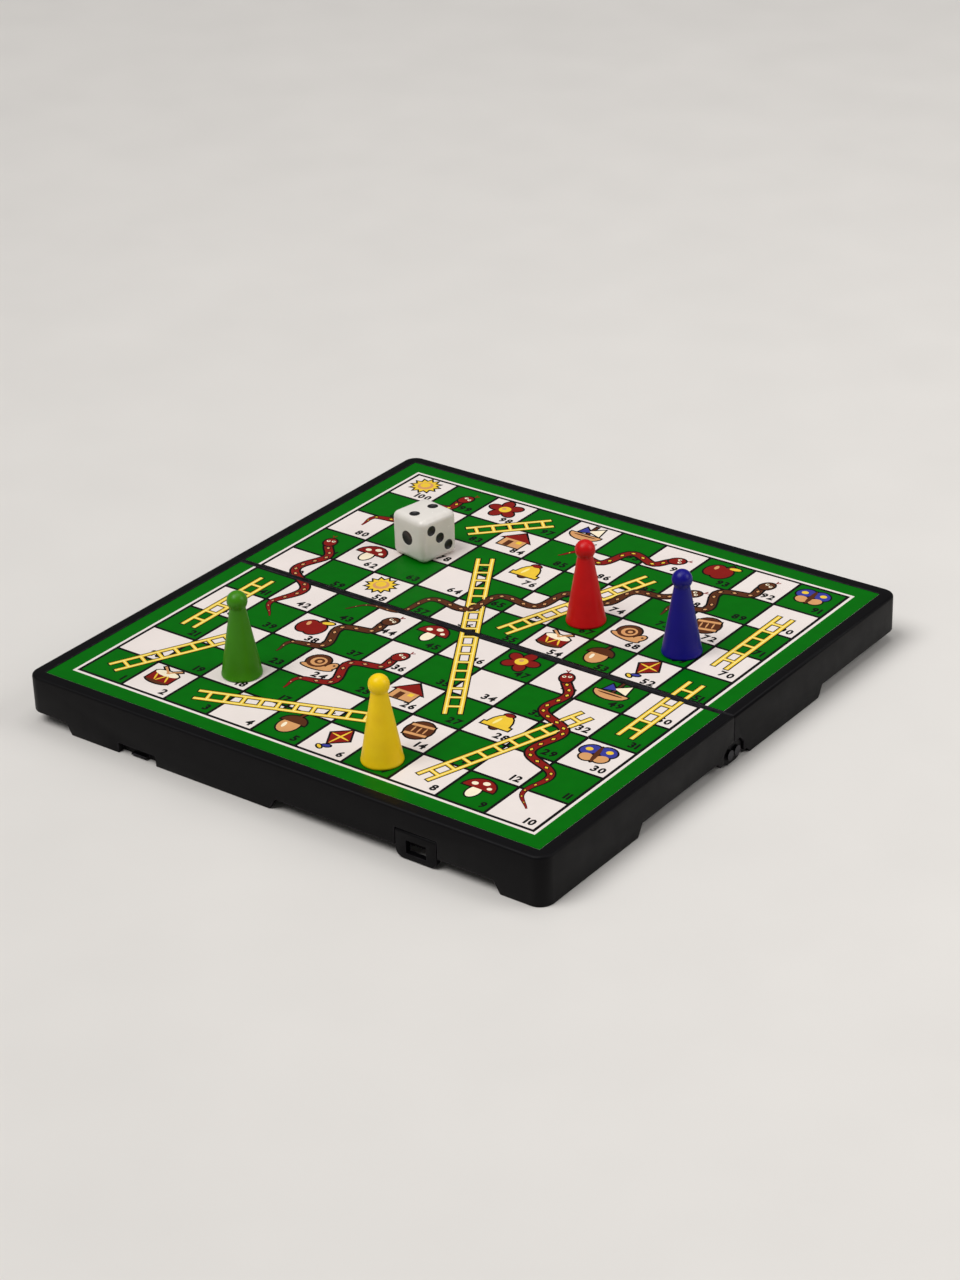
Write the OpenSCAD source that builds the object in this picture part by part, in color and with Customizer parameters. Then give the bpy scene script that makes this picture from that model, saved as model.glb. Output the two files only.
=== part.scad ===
// Folding snakes and ladders board, open on the table.
// Two identical case halves stand hollow side down and carry the playing squares on their backs.
// Links with two pivots join them at both ends of the fold, and loops latch them when shut.
// X runs to the player's right, Y away from the player, Z up from the table.

/* [Board] */
// Edge of one playing square
cell = 22; // [19:0.5:28]
// Playing squares along each side
squares = 10; // [10:2:14]
// Outer squares to the outer face of the case
border_w = 15; // [12:0.5:20]
// Width of the raised rim round the sheets
rim_w = 5.6; // [4:0.1:8]
// Black edge beside the fold on each half
seam_strip = 1; // [0.8:0.1:2]
// Gap between the open halves
seam_gap = 0.5; // [0.4:0.05:0.8]
// Thickness of the steel sheet
steel_t = 0.4; // [0.3:0.05:0.8]
// Thickness of the printed sheet
print_t = 0.3; // [0.2:0.05:0.6]
// Printed face below the top of the rim
sheet_sink = 0.3; // [0.1:0.05:0.8]
// Play round the edges of the sheets
sheet_play = 0.2; // [0.1:0.05:0.4]

/* [Case] */
// Height of the deep parts of the rim
deep_h = 20.8; // [18:0.1:28]
// Step between the deep and the shallow parts of the rim
rim_step = 4.6; // [3.6:0.1:6]
// Plan length of the slope at a step
step_run = 2.8; // [2:0.1:5]
// Outer side face to the step near each front corner
corner_step = 21; // [14:0.5:30]
// Fold to the step on each side wall
side_step = 64; // [40:0.5:85]
// Play between the rims of the folded case
rim_play = 0.3; // [0.2:0.05:0.5]
// Wall thickness
wall = 2; // [1.6:0.1:2.8]
// Plate under the sheets
plate_t = 2; // [1.6:0.1:3]
// Plan radius of the outer corners
corner_r = 6; // [4:0.5:10]
// Rounding of the top edge
edge_r = 1.2; // [0.6:0.1:1.6]
// Depth of the ribs under the plate
rib_h = 2; // [1:0.1:3]
// Thickness of the ribs under the plate
rib_t = 1.2; // [0.8:0.1:2]
// Ribs across each half
ribs = 5; // [3:1:9]

/* [Hinge] */
// Fold plane to each pivot
pivot_in = 2.4; // [2.2:0.1:3]
// Thickness of a link
link_t = 2; // [1.5:0.1:3]
// Play round a link
link_play = 0.3; // [0.2:0.05:0.5]
// Link above the table
link_lift = 0.3; // [0.1:0.05:0.6]
// Radius of a hinge pin
pin_r = 1.1; // [0.8:0.05:1.4]
// Thickness of a pin's head
head_t = 0.8; // [0.5:0.1:1.2]
// Gap between the two heads of a link
head_gap = 0.6; // [0.4:0.1:1]
// Running play of a link on its pins
run_play = 0.05; // [0.02:0.01:0.1]
// Length of a pin held in the case
pin_hold = 3.2; // [2:0.1:5]

/* [Latch] */
// Middle of the case to the middle of a latch
latch_x = 68; // [30:0.5:72]
// Width of a loop
latch_w = 18.6; // [14:0.1:22]
// Thickness of a loop
latch_t = 2.6; // [2.4:0.1:3.2]
// Loop's lower edge to its pivot
latch_h = 10.2; // [9:0.1:11]
// Width of the loop's window
window_w = 9.2; // [7:0.1:11]
// Height of the loop's lower bar
bar_h = 2.2; // [1.6:0.1:2.4]
// Height of the loop's upper bar below its pivot
cross_h = 2.4; // [1.8:0.1:3]
// Rounding of the loop's lower corners
latch_round = 3; // [1:0.1:4]
// Loop above the table
latch_lift = 0.5; // [0.3:0.05:0.8]
// Loop's face below the face of the wall
latch_sink = 0.1; // [0.05:0.05:0.3]
// Play round a loop
latch_play = 0.35; // [0.2:0.05:0.5]
// Radius of a loop's trunnions
trunnion_r = 0.8; // [0.6:0.05:0.9]
// Length of a loop's trunnions
trunnion_l = 1.6; // [1:0.1:2]
// Wall behind and beside a latch pocket
latch_hold = 1.8; // [1.4:0.1:2.4]

/* [Pawns] */
// Height of a pawn
pawn_h = 36; // [28:0.5:44]
// Radius of the foot
foot_r = 8.2; // [7.4:0.1:10]
// Height of the foot's straight edge
foot_h = 1.2; // [0.6:0.1:2]
// Bevel under the foot
foot_bevel = 0.4; // [0.2:0.05:0.6]
// Radius of the neck
neck_r = 3.1; // [2.6:0.1:3.6]
// Radius of the ball head
ball_r = 4.1; // [3.8:0.1:5]
// Wall of the pawn at its neck
shell_t = 1.6; // [1:0.1:2]
// Radius of the magnet
magnet_r = 5.6; // [4.5:0.1:6.4]
// Thickness of the magnet
magnet_t = 3; // [2:0.1:4]
// Seat left above the magnet
seat_w = 1; // [0.6:0.1:1.6]
// Play of pawns and die above the printed face
stand_gap = 0.1; // [0.05:0.01:0.2]

/* [Die] */
// Edge of the die
die_edge = 19.6; // [18:0.1:21]
// Rounding of the die's edges
die_round = 2.8; // [1.5:0.1:3.5]
// Radius of the pips on the faces of four, five and six
pip_r = 1.9; // [1.2:0.05:2]
// Radius of the pips on the faces of two and three
low_pip_r = 2.4; // [1.6:0.05:2.5]
// Radius of the single pip
one_pip_r = 3.4; // [2:0.05:3.8]
// Depth of the pips' pockets
pip_depth = 0.8; // [0.5:0.05:1.2]
// Thickness of the colour in the pockets
pip_t = 0.4; // [0.2:0.05:0.5]
// Turn of the die against the board
die_turn = -11; // [-45:1:45]

/* [Hidden] */

// Overrun of every cut
over = 1;
// Facets of plain roundings
round_fn = 32;
// Steps of the case's corner arcs and of its rounded top edge
arc_steps = 8;
edge_steps = 4;
// Facets of revolved and bored shapes
turn_fn = 64;

// Places of pawns and die from the middle of the board, in squares
green_shares = [-2.45, -3.5];
yellow_shares = [1.55, -4.55];
red_shares = [1.5, 1.55];
blue_shares = [3.62, 1.5];
die_shares = [-2.72, 2.23];

// Half of the case in plan, both ways
half_w = squares * cell / 2 + border_w;
seam_y = seam_gap / 2;
recess_x = half_w - rim_w;
recess_y = seam_y + seam_strip;
recess_d = steel_t + print_t + sheet_sink;
recess_z = deep_h - recess_d;
plate_z = recess_z - plate_t;
face_z = deep_h - sheet_sink;
stand_z = face_z + stand_gap;

// The folded rims meet at this height, and the pivots lie as far above it as from the fold
fold_z = rim_step / 2;
shallow_z = rim_step + rim_play;
pivot_z = fold_z + pivot_in;
link_r = pivot_z - link_lift;
head_r = pivot_in - head_gap / 2;
pocket_d = link_play + link_t + link_play + head_t;
pocket_r = link_r + link_play;
// Flat of an octagon round the link's end, as a share of its radius
octagon_share = tan(22.5);
hinge_floor = fold_z + seam_y;
boss_y = pivot_in + pocket_r + wall;
boss_top = pivot_z + pocket_r + wall;
boss_x = half_w - pocket_d - pin_hold;
// Deep rim starts here, clear of the hinge
hinge_free = boss_y + 2 * rim_play;
// The rolling edge stands this much past the plane of the fold's face, so that they cross
roll_past = 0.1;
roll_r = pivot_in - seam_y + roll_past;
// Width of the band that a rim notch cuts
band = corner_r + over;

latch_z = latch_lift + latch_h;
barrel_r = latch_t / 2;
latch_axis = latch_sink + barrel_r;
latch_depth = latch_sink + latch_t + latch_play;
latch_half = latch_w / 2 + latch_play;
latch_top = latch_z + barrel_r + latch_play;
latch_back = latch_depth + latch_hold;
latch_side = latch_half + max(latch_hold, trunnion_l + latch_hold / 2);
// The other half's loop, in this half's frame when the case is shut
catch_top = 2 * fold_z - latch_lift + latch_play;
nub_top = 2 * fold_z - latch_lift - bar_h - latch_play;
nub_half = window_w / 2 - 2 * latch_play;
nub_reach_share = 0.7;
nub_lead_share = 0.4;
nub_out = latch_depth - latch_play - nub_reach_share * latch_t;

ball_z = pawn_h - ball_r;
neck_z = ball_z - sqrt(ball_r * ball_r - neck_r * neck_r);
hollow_top_share = 0.85;

pip_share = 0.235;
two_share = 0.26;

// Outline of a rim notch from a to b in plan, widening downwards, with its roof at top
module notch(a, b, top) {
    run = step_run / rim_step;
    low = -over - fold_z;
    high = top - fold_z;
    side = rim_play / 2;
    polygon([[a - side + run * low, -over], [b + side - run * low, -over],
        [b + side - run * high, top], [a - side + run * high, top]]);
}

// A cut of the front wall, drawn in X and Z
module cut_front() {
    translate([0, -half_w + band, 0]) rotate([90, 0, 0]) linear_extrude(band + over) children();
}

// A cut of the wall at one side, drawn in Y and Z
module cut_side(side) {
    translate([side * half_w - band, 0, 0]) rotate([90, 0, 90]) linear_extrude(2 * band) children();
}

// Plan outline of the case at height z, drawn in by inset on every side but the fold
function ring(inset, z) = let (r = corner_r - inset, x = half_w - corner_r, y = corner_r - half_w)
    concat(
        [[half_w - inset, -seam_y, z]],
        [for (i = [0 : arc_steps]) let (a = -90 * i / arc_steps) [x + r * cos(a), y + r * sin(a), z]],
        [for (i = [0 : arc_steps]) let (a = -90 * i / arc_steps) [r * sin(a) - x, y - r * cos(a), z]],
        [[inset - half_w, -seam_y, z]]);

// Solid case with a rounded top edge, lofted through its plan outlines
module case_block() {
    rings = concat([ring(0, -over)], [for (k = [0 : edge_steps]) let (a = 90 * k / edge_steps)
        ring(edge_r * (1 - cos(a)), deep_h - edge_r * (1 - sin(a)))]);
    n = len(rings[0]);
    top = n * (len(rings) - 1);
    sides = [for (k = [0 : len(rings) - 2], i = [0 : n - 1]) let (j = (i + 1) % n)
        [k * n + i, k * n + j, k * n + n + j, k * n + n + i]];
    polyhedron([for (r = rings) each r], concat(
        sides, [[for (i = [0 : n - 1]) top + i]], [[for (i = [n - 1 : -1 : 0]) i]]));
}

module cavity() {
    inner_r = corner_r - wall;
    inner_y = seam_y + wall;
    translate([0, 0, -over]) linear_extrude(plate_z + over) hull() {
        for (side = [-1, 1])
            translate([side * (half_w - corner_r), -half_w + corner_r])
                circle(inner_r, $fn = round_fn);
        translate([-half_w + wall, -inner_y - inner_r])
            square([2 * (half_w - wall), inner_r]);
    }
}

module plate_ribs() {
    pitch = 2 * half_w / (ribs + 1);
    rib_z = plate_z - rib_h;
    depth = half_w - seam_y - wall;
    for (i = [1 : ribs])
        translate([i * pitch - half_w - rib_t / 2, -half_w + wall / 2, rib_z])
            cube([rib_t, depth, rib_h + plate_t / 2]);
    translate([-half_w + wall / 2, -half_w / 2 - rib_t / 2, rib_z])
        cube([2 * half_w - wall, rib_t, rib_h + plate_t / 2]);
}

module hinge_boss(side) {
    x = side > 0 ? boss_x : -half_w + wall / 2;
    translate([x, -boss_y, hinge_floor])
        cube([half_w - wall / 2 - boss_x, boss_y - seam_y - wall / 2, boss_top - hinge_floor]);
}

module latch_boss(x, top) {
    translate([x - latch_side, -half_w + wall / 2, 0])
        cube([2 * latch_side, latch_back - wall / 2, top]);
}

// Pocket for a link, open to the fold and to the table
module link_pocket() {
    flat = octagon_share * pocket_r;
    polygon([[-pivot_in - pocket_r, -over], [over, -over], [over, pivot_z + pocket_r],
        [-pivot_in - flat, pivot_z + pocket_r], [-pivot_in - pocket_r, pivot_z + flat]]);
}

// The lower edge beside the fold is round about its pivot
module fold_relief() {
    span = 2 * (half_w + over);
    difference() {
        translate([-half_w - over, -pivot_in, -over]) cube([span, pivot_in + over, pivot_z + over]);
        translate([-half_w - 2 * over, -pivot_in, pivot_z]) rotate([0, 90, 0])
            cylinder(r = roll_r, h = span + 2 * over, $fn = turn_fn);
    }
}

module rim_notches() {
    corner_x = half_w - corner_step;
    past = half_w + band;
    cut_front() notch(0, corner_x, shallow_z);
    cut_front() notch(-past, -corner_x, shallow_z);
    cut_side(-1) notch(-past, -side_step, shallow_z);
    cut_side(1) notch(-side_step, -hinge_free, shallow_z);
    for (side = [-1, 1]) cut_side(side) notch(-hinge_free, band, hinge_floor);
    translate([-past, -past, -2 * over]) cube([2 * past, past, 2 * over]);
}

module latch_pocket() {
    translate([latch_x - latch_half, -half_w - over, -over])
        cube([2 * latch_half, latch_depth + over, latch_top + over]);
    translate([latch_x - latch_half - trunnion_l, -half_w + latch_axis, latch_z]) rotate([0, 90, 0])
        cylinder(r = trunnion_r + run_play, h = 2 * (latch_half + trunnion_l), $fn = turn_fn);
}

module catch_pocket() {
    translate([-latch_x - latch_half, -half_w - over, -over])
        cube([2 * latch_half, latch_depth + over, catch_top + over]);
}

// Wedge that the other half's loop springs over
module catch_nub() {
    lead = nub_lead_share * nub_top;
    translate([-latch_x - nub_half, -half_w, 0]) rotate([90, 0, 90]) linear_extrude(2 * nub_half)
        polygon([[latch_back, 0], [latch_depth - latch_play, 0], [nub_out, lead],
            [nub_out, nub_top], [latch_back, nub_top]]);
}

module tray_half() {
    difference() {
        union() {
            difference() {
                case_block();
                cavity();
            }
            plate_ribs();
            for (side = [-1, 1]) hinge_boss(side);
            latch_boss(latch_x, latch_top + latch_hold);
            latch_boss(-latch_x, catch_top + latch_hold);
        }
        translate([-recess_x, -recess_x, recess_z])
            cube([2 * recess_x, recess_x - recess_y, recess_d + over]);
        rim_notches();
        fold_relief();
        for (side = [-1, 1]) {
            translate([side > 0 ? half_w - pocket_d : -half_w - over, 0, 0]) rotate([90, 0, 90])
                linear_extrude(pocket_d + over) link_pocket();
            translate([side > 0 ? boss_x - over : -half_w, -pivot_in, pivot_z]) rotate([0, 90, 0])
                cylinder(r = pin_r, h = half_w - boss_x + over, $fn = turn_fn);
        }
        latch_pocket();
        catch_pocket();
    }
    catch_nub();
}

// A sheet that fills the recess in plan, less its play
module sheet(z, t) {
    far = recess_x - sheet_play;
    near = recess_y + sheet_play;
    translate([-far, -far, z]) cube([2 * far, far - near, t]);
}

module steel_half() {
    sheet(recess_z, steel_t);
}

module print_half() {
    sheet(recess_z + steel_t, print_t);
}

// Loop of a latch, drawn in X and Z
module loop_outline() {
    window_h = latch_h - bar_h - cross_h;
    difference() {
        hull() {
            for (side = [-1, 1])
                translate([side * (latch_w / 2 - latch_round), latch_round])
                    circle(latch_round, $fn = round_fn);
            translate([-latch_w / 2, latch_h - barrel_r]) square([latch_w, barrel_r]);
        }
        translate([-window_w / 2, bar_h]) square([window_w, window_h]);
    }
}

module latch_half_loop() {
    translate([latch_x, -half_w + latch_axis, latch_lift]) {
        translate([0, barrel_r, 0]) rotate([90, 0, 0]) linear_extrude(latch_t) loop_outline();
        translate([-latch_w / 2, 0, latch_h]) rotate([0, 90, 0])
            cylinder(r = barrel_r, h = latch_w, $fn = turn_fn);
        translate([-latch_half - trunnion_l + latch_play, 0, latch_h]) rotate([0, 90, 0])
            cylinder(r = trunnion_r, h = 2 * (latch_half + trunnion_l - latch_play), $fn = turn_fn);
    }
}

module hinge_link(side) {
    x = half_w - pocket_d + link_play;
    translate([side > 0 ? x : -x - link_t, 0, pivot_z]) rotate([90, 0, 90]) linear_extrude(link_t)
        difference() {
            hull() for (way = [-1, 1]) translate([way * pivot_in, 0]) circle(link_r, $fn = turn_fn);
            for (way = [-1, 1]) translate([way * pivot_in, 0]) circle(pin_r + run_play, $fn = turn_fn);
        }
}

// A headed pin pressed into the case through the link
module hinge_pin() {
    rotate([0, 90, 0]) {
        cylinder(r = pin_r, h = half_w - boss_x, $fn = turn_fn);
        translate([0, 0, half_w - boss_x - head_t]) cylinder(r = head_r, h = head_t, $fn = turn_fn);
    }
}

module pins_half() {
    translate([boss_x, -pivot_in, pivot_z]) hinge_pin();
    translate([-boss_x, -pivot_in, pivot_z]) mirror([1, 0, 0]) hinge_pin();
}

// Places a piece on the printed face
module stand(shares) {
    translate([shares[0] * cell, shares[1] * cell, stand_z]) children();
}

module pawn_body() {
    slope_h = neck_z - foot_h;
    hollow_h = hollow_top_share * neck_z - magnet_t;
    difference() {
        union() {
            cylinder(r1 = foot_r - foot_bevel, r2 = foot_r, h = foot_bevel, $fn = turn_fn);
            translate([0, 0, foot_bevel]) cylinder(r = foot_r, h = foot_h - foot_bevel, $fn = turn_fn);
            translate([0, 0, foot_h]) cylinder(r1 = foot_r, r2 = neck_r, h = slope_h, $fn = turn_fn);
            translate([0, 0, ball_z]) sphere(ball_r, $fn = turn_fn);
        }
        translate([0, 0, -over]) cylinder(r = magnet_r, h = magnet_t + over, $fn = turn_fn);
        translate([0, 0, magnet_t])
            cylinder(r1 = magnet_r - seat_w, r2 = neck_r - shell_t, h = hollow_h, $fn = turn_fn);
    }
}

module pawn_magnet() {
    cylinder(r = magnet_r, h = magnet_t, $fn = turn_fn);
}

// Pip places of a face in shares of the die's edge
function pips(n) = concat(
    n % 2 == 1 ? [[0, 0]] : [],
    n == 2 ? [[0, two_share], [0, -two_share]] : [],
    n > 2 ? [[pip_share, pip_share], [-pip_share, -pip_share]] : [],
    n > 3 ? [[-pip_share, pip_share], [pip_share, -pip_share]] : [],
    n == 6 ? [[-pip_share, 0], [pip_share, 0]] : []);

// Discs of thickness t at every pip of one face, with their floor sunk below the face
module face_pips(turn, n, t, sink) {
    r = n == 1 ? one_pip_r : n < 4 ? low_pip_r : pip_r;
    rotate(turn) translate([0, 0, die_edge / 2 - sink])
        for (p = pips(n)) translate(p * die_edge) cylinder(r = r, h = t, $fn = turn_fn);
}

module all_pips(t, sink) {
    translate([0, 0, die_edge / 2]) {
        face_pips([0, 0, 0], 2, t, sink);
        face_pips([180, 0, 0], 5, t, sink);
        face_pips([90, 0, 0], 1, t, sink);
        face_pips([-90, 0, 0], 6, t, sink);
        face_pips([0, 90, 0], 3, t, sink);
        face_pips([0, -90, 0], 4, t, sink);
    }
}

module die_body() {
    h = die_edge / 2 - die_round;
    difference() {
        translate([0, 0, die_edge / 2]) hull()
            for (x = [-h, h], y = [-h, h], z = [-h, h])
                translate([x, y, z]) sphere(die_round, $fn = round_fn);
        all_pips(pip_depth + over, pip_depth);
    }
}

case_colour = [0.09, 0.085, 0.1];
steel_colour = [0.7, 0.71, 0.73];
print_colour = [0.02, 0.4, 0.08];
magnet_colour = [0.2, 0.2, 0.21];
pip_colour = [0.04, 0.04, 0.04];

module front_tray() { color(case_colour) tray_half(); }
module back_tray() { color(case_colour) rotate([0, 0, 180]) tray_half(); }
module front_steel_sheet() { color(steel_colour) steel_half(); }
module back_steel_sheet() { color(steel_colour) rotate([0, 0, 180]) steel_half(); }
module front_print_sheet() { color(print_colour) print_half(); }
module back_print_sheet() { color(print_colour) rotate([0, 0, 180]) print_half(); }
module front_latch_loop() { color(case_colour) latch_half_loop(); }
module back_latch_loop() { color(case_colour) rotate([0, 0, 180]) latch_half_loop(); }
module left_hinge_link() { color(case_colour) hinge_link(-1); }
module right_hinge_link() { color(case_colour) hinge_link(1); }
module front_hinge_pins() { color(steel_colour) pins_half(); }
module back_hinge_pins() { color(steel_colour) rotate([0, 0, 180]) pins_half(); }
module green_pawn() { color([0.2, 0.48, 0.05]) stand(green_shares) pawn_body(); }
module yellow_pawn() { color([0.95, 0.75, 0.05]) stand(yellow_shares) pawn_body(); }
module red_pawn() { color([0.78, 0.04, 0.06]) stand(red_shares) pawn_body(); }
module blue_pawn() { color([0.09, 0.08, 0.5]) stand(blue_shares) pawn_body(); }
module green_pawn_magnet() { color(magnet_colour) stand(green_shares) pawn_magnet(); }
module yellow_pawn_magnet() { color(magnet_colour) stand(yellow_shares) pawn_magnet(); }
module red_pawn_magnet() { color(magnet_colour) stand(red_shares) pawn_magnet(); }
module blue_pawn_magnet() { color(magnet_colour) stand(blue_shares) pawn_magnet(); }
module die() { color([0.95, 0.94, 0.9]) stand(die_shares) rotate(die_turn) die_body(); }
module die_pips() { color(pip_colour) stand(die_shares) rotate(die_turn) all_pips(pip_t, pip_depth); }

front_tray();
back_tray();
front_steel_sheet();
back_steel_sheet();
front_print_sheet();
back_print_sheet();
front_latch_loop();
back_latch_loop();
left_hinge_link();
right_hinge_link();
front_hinge_pins();
back_hinge_pins();
green_pawn();
yellow_pawn();
red_pawn();
blue_pawn();
green_pawn_magnet();
yellow_pawn_magnet();
red_pawn_magnet();
blue_pawn_magnet();
die();
die_pips();
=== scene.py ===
# %% [markdown]
# # A folding snakes and ladders board
# The real thing is a flat black plastic case that opens like a book. Each half is a shallow tray turned
# upside down, and its back carries a steel sheet with a printed playing sheet on it. Four magnetic pawns and
# a die stand on the print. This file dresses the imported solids: it loads them as a fixed frame, keeps those
# whose shape is right, and models the rest with Blender's mesh operators.

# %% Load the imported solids
import math

import bmesh
import bpy
from mathutils import Matrix, Quaternion, Vector


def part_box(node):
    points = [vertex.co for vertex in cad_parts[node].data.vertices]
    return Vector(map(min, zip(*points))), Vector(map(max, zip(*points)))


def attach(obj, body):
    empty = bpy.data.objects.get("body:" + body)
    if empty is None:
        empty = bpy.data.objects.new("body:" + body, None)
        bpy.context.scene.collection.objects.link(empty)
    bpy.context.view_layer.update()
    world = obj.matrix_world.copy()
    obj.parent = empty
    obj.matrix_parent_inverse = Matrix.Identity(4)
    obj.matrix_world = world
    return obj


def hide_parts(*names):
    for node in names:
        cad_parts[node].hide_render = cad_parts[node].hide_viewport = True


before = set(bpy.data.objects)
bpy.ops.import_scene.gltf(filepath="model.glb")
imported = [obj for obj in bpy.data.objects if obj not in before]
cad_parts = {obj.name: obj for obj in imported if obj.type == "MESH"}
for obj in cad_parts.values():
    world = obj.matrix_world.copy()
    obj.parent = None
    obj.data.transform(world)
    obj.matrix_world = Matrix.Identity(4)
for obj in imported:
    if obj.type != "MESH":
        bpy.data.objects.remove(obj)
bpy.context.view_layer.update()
mm = 0.001

# %% [markdown]
# ## Camera
# The board is seen from its front right corner, from a little above. A long lens keeps the far edge nearly
# as wide as the near one. The camera is placed by the point that it looks at, its turn round the board, its
# height angle and its distance, because those are easy to compare with a picture.

# %% Camera
look_at = Vector((0.002, 0.004, 0.016))
camera_turn = math.radians(37.3)
camera_height = math.radians(27.6)
camera_roll = math.radians(1.8)
camera_distance = 1.214
camera_lens = 85


def towards(turn, height):
    """The direction from the board to a place that far round from the front and that far up."""
    flat = math.cos(height)
    return Vector((flat * math.sin(turn), -flat * math.cos(turn), math.sin(height)))


eye = look_at + camera_distance * towards(camera_turn, camera_height)
camera = bpy.data.objects.new("camera", bpy.data.cameras.new("camera"))
camera.data.lens = camera_lens
camera.data.clip_start = 0.05
camera.location = eye
aimed = (look_at - eye).to_track_quat("-Z", "Y") @ Quaternion((0, 0, 1), -camera_roll)
camera.rotation_euler = aimed.to_euler()
bpy.context.scene.collection.objects.link(camera)
bpy.context.scene.camera = camera
print("camera at", [round(part, 3) for part in eye])

# %% [markdown]
# ## Light
# A studio lights such a board with large soft lamps: a wide far one in front that lights the whole table
# evenly, one at the side and one overhead. Big lamps give soft shadow edges and soft streaks on the pawns.
# The sky is kept dim, because its mirror image would lie over the dark colours as a grey veil. The strengths
# are chosen so that a colour renders about as it is written, which keeps the white squares from burning out.

# %% Lamps and sky
bpy.context.scene.view_settings.view_transform = "Standard"


def soft_lamp(name, turn, height, distance, size, watts):
    """A square lamp that faces the board."""
    lamp = bpy.data.objects.new(name, bpy.data.lights.new(name, "AREA"))
    lamp.data.shape = "SQUARE"
    lamp.data.size = size
    lamp.data.energy = watts
    place = distance * towards(math.radians(turn), math.radians(height))
    lamp.location = place
    lamp.rotation_euler = (-place).to_track_quat("-Z", "Y").to_euler()
    bpy.context.scene.collection.objects.link(lamp)


key_strength = 1.85
key_spread = math.radians(36)
key_from = towards(math.radians(-30), math.radians(60))
sky_strength = 0.17
key_lamp = bpy.data.objects.new("key_lamp", bpy.data.lights.new("key_lamp", "SUN"))
key_lamp.data.energy = key_strength
key_lamp.data.angle = key_spread
key_lamp.rotation_euler = (-key_from).to_track_quat("-Z", "Y").to_euler()
bpy.context.scene.collection.objects.link(key_lamp)
soft_lamp("side_lamp", turn=115, height=35, distance=1.6, size=0.9, watts=7.0)
soft_lamp("top_lamp", turn=180, height=84, distance=1.5, size=1.0, watts=5.5)
sky = bpy.data.worlds.new("studio")
sky.use_nodes = True
backdrop = sky.node_tree.nodes["Background"]
backdrop.inputs["Color"].default_value = (1, 1, 1, 1)
backdrop.inputs["Strength"].default_value = sky_strength
bpy.context.scene.world = sky

# %% [markdown]
# ## Finishes
# No moulded or printed surface is one even colour. Each finish here starts from a Principled shader, clouds
# its colour a little with a soft noise, lets a second noise vary how rough it is, and adds a fine grain as a
# bump. All of them read Object coordinates, so a pattern stays where it is on its piece.


# %% A helper for finishes
noise_low = 0.3
noise_high = 0.7
cloud_detail = 4
gloss_detail = 5
grain_detail = 2


def srgb(red, green, blue):
    """A screen colour from 0 to 255 as the linear colour that shaders take."""
    shares = [part / 255 for part in (red, green, blue)]
    return [s / 12.92 if s <= 0.04045 else ((s + 0.055) / 1.055) ** 2.4 for s in shares]


def noise_of(tree, place, size, detail):
    """A noise whose blots are about that size."""
    blots = tree.nodes.new("ShaderNodeTexNoise")
    blots.inputs["Scale"].default_value = 1 / size
    blots.inputs["Detail"].default_value = detail
    tree.links.new(place, blots.inputs["Vector"])
    return blots.outputs[0]


def ranged(tree, value, lowest, highest):
    """Spreads the middle of a noise over a range."""
    spread = tree.nodes.new("ShaderNodeMapRange")
    spread.inputs["From Min"].default_value = noise_low
    spread.inputs["From Max"].default_value = noise_high
    spread.inputs["To Min"].default_value = lowest
    spread.inputs["To Max"].default_value = highest
    tree.links.new(value, spread.inputs["Value"])
    return spread.outputs[0]


def finish(name, colour, rough, shade, cloud, grain, depth, stretch=(1, 1, 1), shine=0.5):
    """A clouded colour, a varied roughness and a grain, on the piece's own coordinates."""
    material = bpy.data.materials.new(name)
    material.use_nodes = True
    tree = material.node_tree
    shader = tree.nodes["Principled BSDF"]
    shader.inputs["Specular IOR Level"].default_value = shine
    spot = tree.nodes.new("ShaderNodeTexCoord").outputs["Object"]
    turned = tree.nodes.new("ShaderNodeMapping")
    turned.inputs["Scale"].default_value = stretch
    tree.links.new(spot, turned.inputs["Vector"])
    place = turned.outputs[0]
    tint = tree.nodes.new("ShaderNodeValToRGB")
    ends = ((noise_low, 1 - shade), (noise_high, 1 + shade))
    for stop, (position, factor) in zip(tint.color_ramp.elements, ends):
        stop.position = position
        stop.color = [min(part * factor, 1) for part in srgb(*colour)] + [1]
    tree.links.new(noise_of(tree, place, cloud, cloud_detail), tint.inputs[0])
    tree.links.new(tint.outputs[0], shader.inputs["Base Color"])
    gloss = ranged(tree, noise_of(tree, place, cloud / 2, gloss_detail), *rough)
    tree.links.new(gloss, shader.inputs["Roughness"])
    relief = tree.nodes.new("ShaderNodeBump")
    relief.inputs["Strength"].default_value = 1
    relief.inputs["Distance"].default_value = depth
    tree.links.new(noise_of(tree, place, grain, grain_detail), relief.inputs["Height"])
    tree.links.new(relief.outputs[0], shader.inputs["Normal"])
    return material


# %% [markdown]
# ### Case plastic
# The case is injection moulded in black. The mould was spark eroded, which leaves a fine sand grain that
# turns hard reflections into a grey sheen. Handling polishes and greys the edges. The lighter grey on the
# eased edges is partly that wear and partly a painted highlight along them: the finish reads a value that
# the eased edges of a piece carry, and breaks it up with noise.

# %% Case plastic
case_plastic = finish(
    "case_plastic", (9, 8, 10), rough=(0.42, 0.5), shade=0.09,
    cloud=14 * mm, grain=0.55 * mm, depth=0.03 * mm, shine=0.1,
)
# A lighter purple grey for the eased edges: partly wear, partly a painted highlight along them.
wear_and_highlight_grey = (50, 47, 52)
wear_and_highlight_blot = 3 * mm
wear_and_highlight_most = 0.8


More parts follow.
